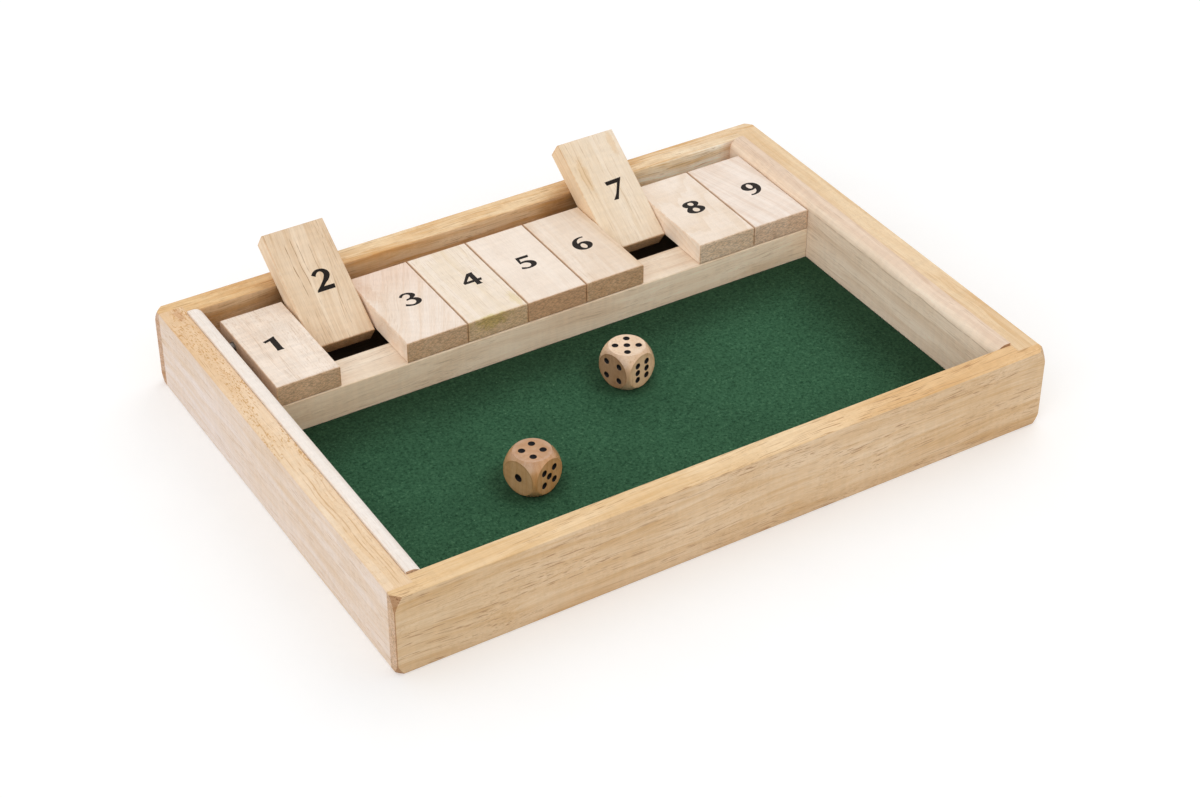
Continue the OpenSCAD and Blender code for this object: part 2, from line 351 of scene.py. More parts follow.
def addLines(tree, colour, straight, look):
    # each: (place across or None, place through or None, start, end, half width, share), in mm
    run, side, depth = splitVector(
        tree, driftNoise(tree, straight, vessels["wobble"], vessels["wobbleReach"]))
    broken = ramp(tree, patternNoise(tree, straight, **vessels["broken"]), *vessels["gaps"])
    for acrossAt, throughAt, first, last, width, strength in look["lines"]:
        axis, place = (depth, throughAt) if acrossAt is None else (side, acrossAt)
        off = calc(tree, "ABSOLUTE", calc(tree, "SUBTRACT", axis, place))
        share = ramp(tree, off, vessels["core"] * width, width, strength, 0.0)
        reach = calc(tree, "MULTIPLY", ramp(tree, run, first, first + vessels["taper"]),
                     ramp(tree, run, last - vessels["taper"], last, 1.0, 0.0))
        share = calc(tree, "MULTIPLY", calc(tree, "MULTIPLY", share, reach), broken)
        colour = blendColour(tree, share, colour, (*look["dark"], 1))
    return colour


stainsAndShadows = {
    "field": {"stretch": (0.5, 0.5, 0.5), "detail": 3.0, "rough": 0.65, "shift": 83.0},
    "core": 0.35,  # share of the reach that is fully stained or shaded
    "rim": 1.6, "share": 1.0,  # how uneven the rim is, and how strong the stain or shadow
}


def addSpots(tree, colour, straight, look):
    # each stain or painted shadow says where it lies and how far it reaches along, across and through the
    # board, in mm
    uneven = calc(tree, "SUBTRACT", patternNoise(tree, straight, **stainsAndShadows["field"]), 0.5)
    for spot in look["spots"]:
        off = vectorCalc(tree, "DIVIDE", vectorCalc(tree, "SUBTRACT", straight, spot["at"]), spot["reach"])
        rim = calc(tree, "MULTIPLY", uneven, spot.get("rim", stainsAndShadows["rim"]))
        off = calc(tree, "ADD", vectorCalc(tree, "LENGTH", off), rim)
        share = ramp(tree, off, stainsAndShadows["core"], 1.0, spot.get("share", stainsAndShadows["share"]), 0.0)
        colour = tintColour(tree, share, colour, spot["tint"])
    return colour


def addGrain(tree, coords, look, flecks):
    moved = vectorCalc(tree, "ADD", coords, look["cut"])
    return addNode(tree, "Group", {
        "Vector": moved, "Pale": (*look["pale"], 1), "Warm": (*look["warm"], 1), "Dark": (*look["dark"], 1),
        "Rings": look["rings"], "Ring Gap": look["ringGap"], "Streaks": look["streaks"],
        "Pores": look["pores"], "Flecks": flecks, "Mottle": look["mottle"], "Ripple": look["ripple"]},
        node_tree=grainGroup).outputs


plainBoard = {  # what a board has unless its own look says otherwise
    "skew": 0.0, "dip": 0.0, "roll": 0.0,  # degrees
    "rings": 0.25, "ringGap": 6.0, "streaks": 0.5, "pores": 0.5, "flecks": 0.0, "mottle": 0.3, "ripple": 0.05,
    "flank": (1.0, 1.0, 1.0), "end": (0.80, 0.70, 0.60),  # tints of the narrow faces, partly their own tone and partly painted light and shade, and of the end grain
    "edge": 0.35, "edgeWidth": 0.9, "edgeTint": (0.80, 0.62, 0.42),  # how worn its edges are
    "rough": 0.62, "bump": 0.4,
    "shades": (), "lines": (), "spots": (), "burnt": (),
}
sawn = {
    "endFacing": (0.55, 0.95), "burntFacing": (0.2, 0.5),  # how squarely a face must look that way
    "speckle": {"stretch": (0.4, 0.8, 2.0), "detail": 4.0, "rough": 0.75, "shift": 91.0},  # of the end grain
    "speckleTone": (0.38, 0.66, 1.17, 0.67),
    "fleckRest": 0.12,  # share of the flecks on the sides that show few
    "edgeShine": 0.1, "poreDull": 0.2, "bumpDepth": 0.00012,
}


def makeWood(name, piece, look):
    # one board's material: look holds its colours, the share of each figure and where in the log it was cut
    look = {**plainBoard, **look}
    centre, axes, half = pieceAxes(piece, look["grain"])
    material, tree, shader = newMaterial(name)
    straight, normal = boardCoords(tree, centre, axes)
    coords, _ = boardCoords(tree, centre, axes, look["skew"], look["dip"], look["roll"])
    flecks = look["flecks"]
    if "flecked" in look:  # the one side that shows them fully, and where along it they begin, in mm
        side, *stretch = look["flecked"]
        share = calc(tree, "MULTIPLY", facingMask(tree, normal, side),
                     ramp(tree, splitVector(tree, straight)[0], *stretch))
        flecks = calc(tree, "MULTIPLY", ramp(tree, share, 0.0, 1.0, sawn["fleckRest"], 1.0), flecks)
    grain = addGrain(tree, coords, look, flecks)
    colour = grain["Color"]
    if look["lines"]:
        colour = addLines(tree, colour, straight, look)
    if look["spots"]:
        colour = addSpots(tree, colour, straight, look)

    # the narrow faces get their tint, partly their own tone and partly painted light and shade
    flank = calc(tree, "SUBTRACT", 1.0, facingMask(tree, normal, axes[2]))
    colour = tintColour(tree, flank, colour, look["flank"])
    speckle = ramp(tree, patternNoise(tree, straight, **sawn["speckle"]), *sawn["speckleTone"])
    endColour = blendColour(tree, 1.0, (*look["end"], 1), greyColour(tree, speckle), "MULTIPLY")
    ends = facingMask(tree, normal, axes[0], *sawn["endFacing"], bothWays=True)
    colour = blendColour(tree, ends, colour, endColour, "MULTIPLY")
    colour = addShades(tree, colour, straight, normal, look)

    edge = addNode(tree, "Group", {"Vector": straight, "Half Size": [h / mm for h in half],
                                   "Width": look["edgeWidth"]}, node_tree=edgeGroup).outputs["Edge"]
    colour = tintColour(tree, calc(tree, "MULTIPLY", edge, look["edge"]), colour, look["edgeTint"])
    for corner in look["burnt"]:  # upright edges that the sander scorched: the two sides they lie between
        share = calc(tree, "MULTIPLY", facingMask(tree, normal, corner["first"], *sawn["burntFacing"]),
                     facingMask(tree, normal, corner["second"], *sawn["burntFacing"]))
        colour = tintColour(tree, calc(tree, "MULTIPLY", share, corner["share"]), colour, corner["tint"])
    tree.links.new(colour, shader.inputs["Base Color"])

    rough = calc(tree, "SUBTRACT", look["rough"], calc(tree, "MULTIPLY", edge, sawn["edgeShine"]))
    rough = calc(tree, "ADD", rough, calc(tree, "MULTIPLY", grain["Pore Mask"], sawn["poreDull"]))
    tree.links.new(rough, shader.inputs["Roughness"])
    shader.inputs["Specular IOR Level"].default_value = 0.3
    addBump(tree, shader, grain["Height"], look["bump"], sawn["bumpDepth"])
    return material


def dress(piece, material):
    slots = nodes[piece].data.materials
    slots.clear()
    slots.append(material)


front, left, back, right, top = -away, -across, away, across, upright
trayLooks = {
    "front_wall": {
        "grain": "x", "cut": (120, 3, 20), "skew": 2.0, "roll": 12.0,
        "pale": (0.92, 0.70, 0.445), "warm": (0.70, 0.43, 0.18), "dark": (0.48, 0.28, 0.14),
        "rings": 0.2, "ringGap": 7.0, "streaks": 0.42, "pores": 0.9, "flecks": 0.35, "mottle": 0.3,
        "flank": (0.84, 0.84, 0.89), "end": (0.88, 0.83, 0.87), "edge": 0.3, "edgeTint": (0.96, 0.92, 0.84),
        "shades": [{"side": top, "along": (10, 90), "tint": (0.93, 0.83, 0.70)},
                   {"side": front, "along": (-60, -125), "tint": (0.93, 0.92, 0.88)},
                   {"side": front, "through": (-8, -16), "tint": (0.93, 0.90, 0.86)}],
        "lines": [(-2.5, None, 52, 60, 0.30, 0.8), (1.6, None, 60, 74, 0.25, 0.7),
                  (3.2, None, 66, 90, 0.3, 0.6), (-0.6, None, 78, 86, 0.25, 0.8),
                  (2.2, None, 98, 112, 0.3, 0.7), (-3.6, None, 88, 118, 0.3, 0.5),
                  (0.4, None, 112, 132, 0.25, 0.55), (-2.0, None, 18, 34, 0.2, 0.4)],
        "burnt": [{"first": left, "second": front, "share": 0.75, "tint": (0.52, 0.36, 0.25)},
                  {"first": right, "second": front, "share": 0.3, "tint": (0.75, 0.60, 0.45)}],
    },
    "back_wall": {
        "grain": "x", "cut": (-560, 8, 26), "skew": -1.0,
        "pale": (0.94, 0.74, 0.48), "warm": (0.68, 0.38, 0.14), "dark": (0.44, 0.24, 0.10),
        "rings": 0.3, "ringGap": 6.0, "streaks": 0.6, "pores": 0.6, "flecks": 0.4, "mottle": 0.5,
        "flank": (0.95, 0.90, 0.88), "end": (0.76, 0.73, 0.86), "edge": 0.25,
        "shades": [{"side": top, "along": (-40, -110), "tint": (0.92, 0.83, 0.70)},
                   {"side": top, "along": (40, 120), "tint": (1.02, 1.09, 1.24)},
                   # on the inner face: painted light lower down, painted shade in the left corner, painted
                   # light towards the right end and painted shade in the right corner
                   {"side": front, "through": (14, 8), "tint": (1.18, 1.18, 1.18)},
                   {"side": front, "along": (-95, -118), "tint": (0.86, 0.83, 0.80)},
                   {"side": front, "along": (30, 70), "tint": (1.18, 1.54, 2.12)},
                   {"side": front, "along": (116, 124), "tint": (0.78, 0.66, 0.62)}],
        # painted shadows of the raised tiles 2 and 7 on the inner face; they stay when the tiles lie flat
        "spots": [{"at": (-84, -5, 6), "reach": (27, 8, 22), "tint": (0.58, 0.50, 0.43), "rim": 0.3},
                  {"at": (44, -5, 6), "reach": (21, 8, 22), "tint": (0.60, 0.52, 0.45), "rim": 0.3}],
        "burnt": [{"first": left, "second": back, "share": 0.5, "tint": (0.70, 0.52, 0.42)}],
    },
    "left_wall": {
        "grain": "y", "cut": (225, 5, 34),
        "pale": (0.91, 0.73, 0.54), "warm": (0.74, 0.46, 0.20), "dark": (0.56, 0.31, 0.12),
        "rings": 0.15, "ringGap": 9.0, "streaks": 0.3, "pores": 0.45, "mottle": 0.25,
        "flecks": 2.2, "flecked": (top, -50, 0), "flank": (0.92, 0.98, 1.17), "edge": 0.2,
        "shades": [{"side": top, "along": (-20, 60), "tint": (0.96, 0.90, 0.83)},
                   {"side": left, "along": (0, 70), "tint": (1.02, 1.06, 1.14)}],
        "lines": [(0.8, None, -80, -18, 0.35, 0.6), (-1.6, None, -92, -50, 0.3, 0.5),
                  (2.4, None, -62, -10, 0.3, 0.45), (-0.4, None, -96, -66, 0.28, 0.45),
                  (-2.8, None, -48, -16, 0.3, 0.4)],
        "spots": [{"at": (91, -1.5, 17), "reach": (7, 2.2, 3), "tint": (0.70, 0.50, 0.36), "share": 0.5}],
    },
    "right_wall": {
        "grain": "y", "cut": (-240, 12, 40), "skew": 1.0,
        "pale": (0.87, 0.67, 0.44), "warm": (0.71, 0.46, 0.23), "dark": (0.52, 0.30, 0.14),
        "rings": 0.35, "ringGap": 6.5, "streaks": 0.5, "pores": 0.3, "flecks": 0.25, "mottle": 0.3,
        "flank": (0.95, 0.93, 0.93), "edge": 0.2,
    },
    "bottom_panel": {
        "grain": "x", "cut": (60, 200, 70),
        "pale": (0.76, 0.58, 0.38), "warm": (0.56, 0.36, 0.19), "dark": (0.32, 0.18, 0.09),
        "rings": 0.5, "ringGap": 14.0, "streaks": 0.5, "pores": 0.7, "mottle": 0.4,
        "edge": 0.1, "rough": 0.75,
        "shades": [{"side": top, "tint": (0.05, 0.05, 0.05)}],  # near black above, bare below
    },
    "left_liner": {
        "grain": "y", "cut": (90, 60, 14),
        "pale": (0.95, 0.88, 0.82), "warm": (0.82, 0.69, 0.57), "dark": (0.66, 0.49, 0.34),
        "rings": 0.15, "ringGap": 8.0, "streaks": 0.3, "pores": 0.25, "mottle": 0.15,
        "end": (0.6, 0.45, 0.33), "edge": 0.15,
    },
    "right_liner": {
        "grain": "y", "cut": (400, 40, 30),
        "pale": (0.85, 0.67, 0.52), "warm": (0.70, 0.50, 0.35), "dark": (0.50, 0.34, 0.22),
        "rings": 0.35, "ringGap": 7.0, "streaks": 0.6, "pores": 0.45, "mottle": 0.25,
        "end": (0.6, 0.45, 0.33), "edge": 0.1,
        # painted light on the inner face
        "shades": [{"side": left, "tint": (1.20, 1.28, 1.33)}],
        "lines": [(None, 9.2, -88, 80, 0.35, 0.75), (None, 2.0, -70, 60, 0.3, 0.35),
                  (None, -4.5, -40, 20, 0.3, 0.35)],
    },
    "tile_rail": {
        "grain": "x", "cut": (30, 90, 12),
        "pale": (0.92, 0.79, 0.64), "warm": (0.75, 0.57, 0.41), "dark": (0.50, 0.36, 0.24),
        "rings": 0.3, "ringGap": 7.0, "streaks": 0.5, "pores": 0.5, "mottle": 0.3, "edge": 0.2,
        # painted light on the front face, growing brighter towards the right end
        "shades": [{"side": front, "tint": (1.12, 1.09, 1.04)},
                   {"side": front, "along": (-20, -100), "tint": (0.94, 0.91, 0.87)},
                   {"side": front, "along": (20, 100), "tint": (1.03, 1.06, 1.08)}],
    },
}
for piece, look in trayLooks.items():
    dress(piece, makeWood(piece + "_wood", piece, look))
print("tray boards dressed")

tileLooks = {
    1: {"pale": (0.92, 0.80, 0.69), "warm": (0.80, 0.63, 0.49), "flecks": 0.4, "pores": 0.35, "rings": 0.1,
        "ripple": 0.11},
    2: {"pale": (0.88, 0.71, 0.53), "warm": (0.70, 0.49, 0.30), "streaks": 0.55, "pores": 0.4, "rings": 0.25,
        "ringGap": 9.0, "skew": -2.0, "dark": (0.40, 0.22, 0.10),
        "lines": [(6.4, None, -6, 20, 0.30, 0.85), (3.4, None, -2, 22, 0.24, 0.8),
                  (1.4, None, 4, 21, 0.22, 0.7), (-3.0, None, 2, 18, 0.22, 0.6),
                  (-5.6, None, -22, -4, 0.24, 0.5)],
        # the left side: painted light
        "shades": [{"side": left, "tint": (1.03, 1.08, 1.14)}]},
    3: {"pale": (0.92, 0.80, 0.70), "warm": (0.80, 0.62, 0.47), "streaks": 0.45, "pores": 0.2, "skew": -28.0,
        "ripple": 0.04, "shades": [{"side": top, "along": (0, 20), "tint": (0.97, 0.91, 0.88)}],
        "spots": [{"at": (12, 10, 4.6), "reach": (12, 4, 4), "tint": (0.88, 0.79, 0.70), "share": 0.6}]},
    4: {"pale": (0.92, 0.80, 0.68), "warm": (0.82, 0.67, 0.48), "streaks": 0.25, "pores": 0.3, "mottle": 0.4,
        "end": (0.72, 0.60, 0.46),
        "spots": [{"at": (-26.2, 3, 2.6), "reach": (2.4, 11, 5), "tint": (0.78, 0.80, 0.46), "share": 0.85},
                  {"at": (-20, -11, 4), "reach": (7, 3, 3), "tint": (0.90, 0.86, 0.62), "share": 0.6}]},
    5: {"pale": (0.93, 0.81, 0.70), "warm": (0.82, 0.66, 0.52), "streaks": 0.25, "pores": 0.12, "rings": 0.1,
        "end": (0.62, 0.45, 0.31)},
    6: {"pale": (0.90, 0.77, 0.65), "warm": (0.78, 0.61, 0.46), "streaks": 0.4, "pores": 0.3, "mottle": 0.5,
        "ripple": 0.05, "shades": [{"side": top, "across": (-6, -13), "tint": (0.93, 0.87, 0.78)}]},
    7: {"pale": (0.93, 0.80, 0.65), "warm": (0.80, 0.63, 0.44), "streaks": 0.45, "pores": 0.3, "rings": 0.2,
        "dark": (0.46, 0.27, 0.12),
        "lines": [(7.6, None, 2, 20, 0.34, 0.35), (9.4, None, -4, 14, 0.28, 0.3),
                  (4.0, None, 6, 22, 0.2, 0.3)],
        "spots": [{"at": (9, 8.2, 4.6), "reach": (12, 2.6, 4), "tint": (0.92, 0.82, 0.67), "share": 0.7},
                  {"at": (20, -10, 4.6), "reach": (8, 2, 4), "tint": (0.90, 0.79, 0.64), "share": 0.7}],
        # the left side: painted shade
        "shades": [{"side": left, "tint": (0.95, 0.91, 0.86)},
                   {"across": (1, 13), "tint": (0.97, 0.92, 0.84)}]},
    8: {"pale": (0.93, 0.81, 0.70), "warm": (0.80, 0.63, 0.47), "streaks": 0.2, "pores": 0.1, "rings": 0.35,
        "ringGap": 3.4, "cut": (0.0, -1.5, 26.0), "dip": -9.0, "roll": 4.0,
        "end": (0.82, 0.75, 0.67)},
    9: {"pale": (0.93, 0.82, 0.73), "warm": (0.79, 0.63, 0.51), "streaks": 0.45, "pores": 0.06, "skew": 12.0,
        "rings": 0.4, "ringGap": 9.0, "end": (0.80, 0.70, 0.60)},
}
for number, look in tileLooks.items():
    piece = f"tile_{number}"
    common = {"grain": "tile", "cut": (97.0 * number, 21.0 + 3.7 * number, 9.0 + 2.3 * number),
              # flank: painted light on the tiles' sides
              "dark": (0.50, 0.32, 0.18), "end": (0.69, 0.55, 0.41), "flank": (1.06, 1.04, 1.01),
              "edge": 0.55, "edgeWidth": 0.6, "edgeTint": (0.80, 0.58, 0.36)}
    if number in (1, 4, 5, 6, 9):  # painted shade on the left side, where the gap beside it is dark; it stays when the tiles move
        look["shades"] = look.get("shades", []) + [{"side": left, "tint": (0.62, 0.52, 0.44)}]
    dress(piece, makeWood(piece + "_wood", piece, {**common, **look}))
print("tiles dressed")


steel = {
    "bright": (0.24, 0.23, 0.22, 1), "dull": (0.16, 0.15, 0.14, 1), "rough": (0.38, 0.55),
    "drawn": {"stretch": (8.0, 4000.0, 4000.0)},  # fine lines along the rod, waves in a metre
    "blotch": {"stretch": (120.0, 200.0, 200.0), "detail": 3.0},
    "bump": (0.2, 0.00003),
}


def makeSteel():
    material, tree, shader = newMaterial("drawn_steel")
    place = addNode(tree, "TexCoord").outputs["Object"]
    lines = patternNoise(tree, place, **steel["drawn"])
    blotch = ramp(tree, patternNoise(tree, place, **steel["blotch"]), 0.4, 0.7)
    tree.links.new(blendColour(tree, blotch, steel["bright"], steel["dull"]), shader.inputs["Base Color"])
    tree.links.new(ramp(tree, lines, *noiseSpan, *steel["rough"]), shader.inputs["Roughness"])
    addBump(tree, shader, lines, *steel["bump"])
    shader.inputs["Metallic"].default_value = 1.0
    return material


dress("pivot_rod", makeSteel())


dieLooks = {
    "die_1": {
        "turn": 19.5, "faces": (4, 1, 5), "pitch": 2.8, "pip": 2.8,  # spots above, on the left and in front
        "pale": (0.56, 0.335, 0.19), "warm": (0.47, 0.24, 0.105), "dark": (0.30, 0.155, 0.07),
        "cut": (17, 9, 6), "rings": 0.4, "ringGap": 3.2, "streaks": 0.55, "pores": 0.3, "flecks": 0.2,
        "sides": [(left, (0.95, 1.02, 0.94)), (front, (1.40, 1.39, 1.20))],
    },
    "die_2": {
        "turn": 16.0, "faces": (5, 4, 6), "pitch": 3.25, "pip": 2.7,
        "pale": (0.87, 0.67, 0.49), "warm": (0.72, 0.49, 0.31), "dark": (0.46, 0.28, 0.15),
        "cut": (57, 14, 3), "rings": 0.25, "ringGap": 3.6, "streaks": 0.5, "pores": 0.5, "flecks": 0.5,
        "sides": [(left, (0.46, 0.36, 0.28)), (front, (1.09, 0.98, 0.85))],
    },
}
dieFinish = {
    "mottle": 0.5, "ripple": 0.1,
    "round": (0.60, 0.665),  # where the tumbled corners begin and are bare, from the middle, in die widths
    "cornerTint": (0.86, 0.72, 0.58), "cornerShare": 0.3, "sideFacing": (0.45, 0.92),
    "rough": 0.42, "cornerShine": 0.16, "cornerWax": 0.6, "waxRough": 0.25, "bump": (0.2, 0.0001),
}
pip = {  # as drilled, in mm
    "depth": 0.7, "aceExtra": 0.6, "land": 0.4, "sixShare": 0.78,
    "paint": 0.03, "paintGap": 0.01, "paintRim": 0.02,  # thickness, and clear of the wood and of the rim
}


def makeDieWood(name, look):
    look = {**dieFinish, **look}
    low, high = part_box(name)
    width = (high.z - low.z) / mm
    material, tree, shader = newMaterial(name + "_wood")
    stand = Matrix.Rotation(math.radians(look["turn"]), 3, "Z")
    axes = [stand @ axis for axis in (upright, across, away)]
    local, normal = boardCoords(tree, (low + high) / 2, axes)
    grain = addGrain(tree, local, look, look["flecks"])
    polish = ramp(tree, vectorCalc(tree, "LENGTH", local), *(share * width for share in look["round"]))
    colour = tintColour(tree, calc(tree, "MULTIPLY", polish, look["cornerShare"]), grain["Color"],
                        look["cornerTint"])
    for side, tint in look["sides"]:  # opposite sides of a die share one tone, partly from the end grain and partly painted light and shade
        share = facingMask(tree, normal, stand @ side, *look["sideFacing"], bothWays=True)
        colour = tintColour(tree, share, colour, tint)
    tree.links.new(colour, shader.inputs["Base Color"])
    rough = calc(tree, "SUBTRACT", look["rough"], calc(tree, "MULTIPLY", polish, look["cornerShine"]))
    tree.links.new(rough, shader.inputs["Roughness"])
    tree.links.new(calc(tree, "MULTIPLY", polish, look["cornerWax"]), shader.inputs["Coat Weight"])
    shader.inputs["Coat Roughness"].default_value = look["waxRough"]
    shader.inputs["Specular IOR Level"].default_value = 0.4
    addBump(tree, shader, grain["Height"], *look["bump"])
    dress(name, material)


paints = {
    "numeral_ink": {"colour": (0.012, 0.008, 0.006, 1), "rough": (0.52, 0.72)},
    "pip_paint": {"colour": (0.004, 0.003, 0.004, 1), "rough": (0.42, 0.62)},
}
paintWear = {
    "wood": (0.42, 0.30, 0.22, 1), "share": 0.12, "level": (0.60, 0.75),  # a little wood shows through
    "field": {"stretch": (1800.0, 1800.0, 1800.0), "detail": 3.0, "rough": 0.6},  # waves in a metre
    "bump": (0.3, 0.00003),
}


def makePaint(name):
    paint = paints[name]
    material, tree, shader = newMaterial(name)
    thin = patternNoise(tree, addNode(tree, "TexCoord").outputs["Object"], **paintWear["field"])
    worn = calc(tree, "MULTIPLY", ramp(tree, thin, *paintWear["level"]), paintWear["share"])
    tree.links.new(blendColour(tree, worn, paint["colour"], paintWear["wood"]), shader.inputs["Base Color"])
    tree.links.new(ramp(tree, thin, *noiseSpan, *paint["rough"]), shader.inputs["Roughness"])
    shader.inputs["Specular IOR Level"].default_value = 0.15
    addBump(tree, shader, thin, *paintWear["bump"])
    return material


inkBlack = makePaint("numeral_ink")
pipBlack = makePaint("pip_paint")


def linkPiece(name, mesh, material, body):
    obj = placeObject(name, mesh)
    mesh.materials.append(material)
    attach(obj, body)
    return obj


def pipPlaces(count):
    spots = [(0, 0)] if count % 2 else []
    spots += [(-1, 1), (1, -1)] if count >= 2 else []
    spots += [(1, 1), (-1, -1)] if count >= 4 else []
    spots += [(-1, 0), (1, 0)] if count == 6 else []
    return spots


def makePips(name, look):
    # thin dishes of paint that line the dimples
    low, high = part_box(name)
    centre, half = (low + high) / 2, (high.z - low.z) / 2
    topCount, leftCount, frontCount = look["faces"]
    quarter = math.pi / 2
    sideways = Matrix.Rotation(quarter, 4, "X")
    turns = {  # as the dimples are drilled: each face is turned to the top of the die
        topCount: Matrix(), 7 - topCount: Matrix.Rotation(2 * quarter, 4, "X"),
        frontCount: sideways, 7 - frontCount: Matrix.Rotation(2 * quarter, 4, "Z") @ sideways,
        leftCount: Matrix.Rotation(-quarter, 4, "Z") @ sideways,
        7 - leftCount: Matrix.Rotation(quarter, 4, "Z") @ sideways,
    }
    bm = bmesh.new()
    stand = Matrix.Translation(centre) @ Matrix.Rotation(math.radians(look["turn"]), 4, "Z")
    for count, turn in turns.items():
        width = look["pip"] + (pip["aceExtra"] if count == 1 else 0)
        ball = ((width / 2) ** 2 + pip["depth"] ** 2) / (2 * pip["depth"]) * mm
        sidePitch = look["pitch"] * (pip["sixShare"] if count == 6 else 1)
        longPitch = max(look["pitch"], look["pip"] + pip["land"]) if count == 6 else look["pitch"]
        for x, y in pipPlaces(count):
            spot = Vector((x * sidePitch * mm, y * longPitch * mm, half + ball - pip["depth"] * mm))
            made = bmesh.ops.create_icosphere(bm, subdivisions=4, radius=ball - pip["paintGap"] * mm,
                                              matrix=stand @ turn @ Matrix.Translation(spot))
            verts = set(made["verts"])
            rim = (stand @ turn).to_3x3() @ upright
            level = (stand @ turn) @ Vector((0, 0, half - pip["paintRim"] * mm))
            geom = made["verts"] + [edge for edge in bm.edges if edge.verts[0] in verts]
            geom += [face for face in bm.faces if face.verts[0] in verts]
            bmesh.ops.bisect_plane(bm, geom=geom, dist=1e-7, plane_co=level, plane_no=rim, clear_outer=True)
    bmesh.ops.recalc_face_normals(bm, faces=bm.faces)
    for face in bm.faces:
        face.smooth = True
    bmesh.ops.reverse_faces(bm, faces=bm.faces)
    bmesh.ops.solidify(bm, geom=bm.faces[:], thickness=pip["paint"] * mm)
    linkPiece(name + "_pips", finishMesh(bm, name + "_pips"), pipBlack, name)


for name, look in dieLooks.items():
    makeDieWood(name, look)
    makePips(name, look)
print("dice dressed")


# Outlines in mm about a numeral's middle, 9 mm high; a third value of 1 marks a round point
numeralShapes = {
    1: [[(-2.45, 3.2), (-0.4, 3.75, 1), (2.15, 4.6), (2.05, 3.5), (2.05, -3.6), (2.25, -4.5), (-0.1, -4.5),
         (0.05, -3.6), (0.05, 2.85), (-0.6, 2.75), (-2.15, 2.4)]],
    2: [[(-3.5, 3.0), (-2.1, 4.2, 1), (0.0, 4.6, 1), (2.5, 3.8, 1), (3.5, 2.2, 1), (2.9, 0.4, 1),
         (0.1, -1.9, 1), (-1.1, -3.05), (3.55, -3.05), (3.4, -4.5), (-3.9, -4.5), (-3.7, -3.95),
         (-1.5, -2.0, 1), (0.9, 0.8, 1), (1.45, 2.3, 1), (0.9, 3.45, 1), (-0.3, 3.85, 1), (-1.6, 3.25, 1),
         (-2.3, 2.2)]],
    3: [[(-3.45, 3.0), (-2.5, 4.1, 1), (-0.7, 4.6, 1), (1.6, 3.95, 1), (2.85, 2.4, 1), (2.3, 1.15, 1),
         (1.0, 0.45), (2.8, -0.6, 1), (3.5, -2.1, 1), (2.6, -3.75, 1), (0.2, -4.6, 1), (-2.3, -4.3, 1),
         (-3.85, -3.55), (-3.3, -2.65), (-2.3, -3.3, 1), (-0.5, -3.9, 1), (0.9, -3.2, 1), (1.4, -1.9, 1),
         (0.65, -0.65, 1), (-0.6, -0.2, 1), (-1.75, -0.3), (-1.55, 0.35), (0.1, 0.95, 1), (0.85, 2.4, 1),
         (0.35, 3.45, 1), (-0.9, 3.85, 1), (-2.1, 3.25, 1), (-2.8, 2.4)]],
    4: [[(0.3, 4.3), (2.6, 4.55), (2.45, 3.5), (2.45, -0.8), (4.0, -0.65), (3.7, -2.05), (2.45, -2.0),
         (2.5, -3.4), (2.75, -4.3), (0.5, -4.3), (0.65, -3.4), (0.65, -2.0), (-3.8, -2.0), (-3.9, -1.05)],
        [(-2.6, -0.8), (0.6, -0.8), (0.55, 2.75)]],
    5: [[(-2.45, 4.3), (3.1, 4.3), (2.7, 2.85), (-1.5, 2.9), (-1.8, 0.75), (-0.4, 0.95, 1), (1.5, 0.55, 1),
         (3.2, -0.7, 1), (3.6, -2.1, 1), (2.7, -3.75, 1), (0.3, -4.5, 1), (-2.3, -4.3, 1), (-3.7, -3.75),
         (-3.25, -2.65), (-2.3, -3.2, 1), (-0.6, -3.8, 1), (0.8, -3.1, 1), (1.25, -1.9, 1), (0.5, -0.65, 1),
         (-0.9, -0.1, 1), (-2.7, -0.35)]],
    6: [[(2.85, 4.45), (0.9, 4.55, 1), (-1.6, 3.65, 1), (-3.2, 1.9, 1), (-3.9, -0.8, 1), (-3.2, -2.95, 1),
         (-1.65, -4.15, 1), (0.3, -4.5, 1), (2.6, -3.75, 1), (3.85, -1.5, 1), (3.0, 0.25, 1), (1.2, 1.0, 1),
         (-0.4, 0.85, 1), (-1.5, 0.3), (-1.3, 1.6, 1), (-0.25, 3.2, 1), (1.1, 3.9, 1), (2.75, 3.95)],
        [(-0.1, 0.1, 1), (-1.05, -0.65, 1), (-1.35, -1.9, 1), (-0.8, -3.25, 1), (0.35, -3.85, 1),
         (1.25, -3.0, 1), (1.45, -1.6, 1), (1.0, -0.35, 1)]],
    7: [[(-3.65, 4.15), (4.0, 4.5), (2.05, 1.3, 1), (0.35, -1.6, 1), (-1.2, -4.5), (-3.2, -4.4),
         (-1.4, -2.4, 1), (0.35, 0.4, 1), (1.7, 2.8), (-3.4, 2.6)]],
    8: [[(0.1, 4.55, 1), (2.6, 4.0, 1), (3.6, 2.5, 1), (1.9, 0.3), (3.3, -0.65, 1), (4.0, -2.2, 1),
         (2.8, -3.8, 1), (0.0, -4.55, 1), (-2.8, -3.8, 1), (-4.0, -2.3, 1), (-3.3, -0.65, 1), (-2.1, 0.45),
         (-3.2, 1.3, 1), (-3.55, 2.6, 1), (-2.4, 4.0, 1)],
        [(0.1, 3.9, 1), (-0.95, 3.5, 1), (-1.2, 2.5, 1), (-0.6, 1.4, 1), (0.4, 1.0, 1), (1.3, 1.6, 1),
         (1.5, 2.7, 1), (1.1, 3.55, 1)],
        [(-0.2, -0.35, 1), (-1.3, -1.1, 1), (-1.6, -2.3, 1), (-1.1, -3.35, 1), (0.1, -3.9, 1),
         (1.3, -3.35, 1), (1.6, -2.1, 1), (1.0, -1.0, 1)]],
}
numeralShapes[9] = numeralShapes[6]  # turned half round where it is printed
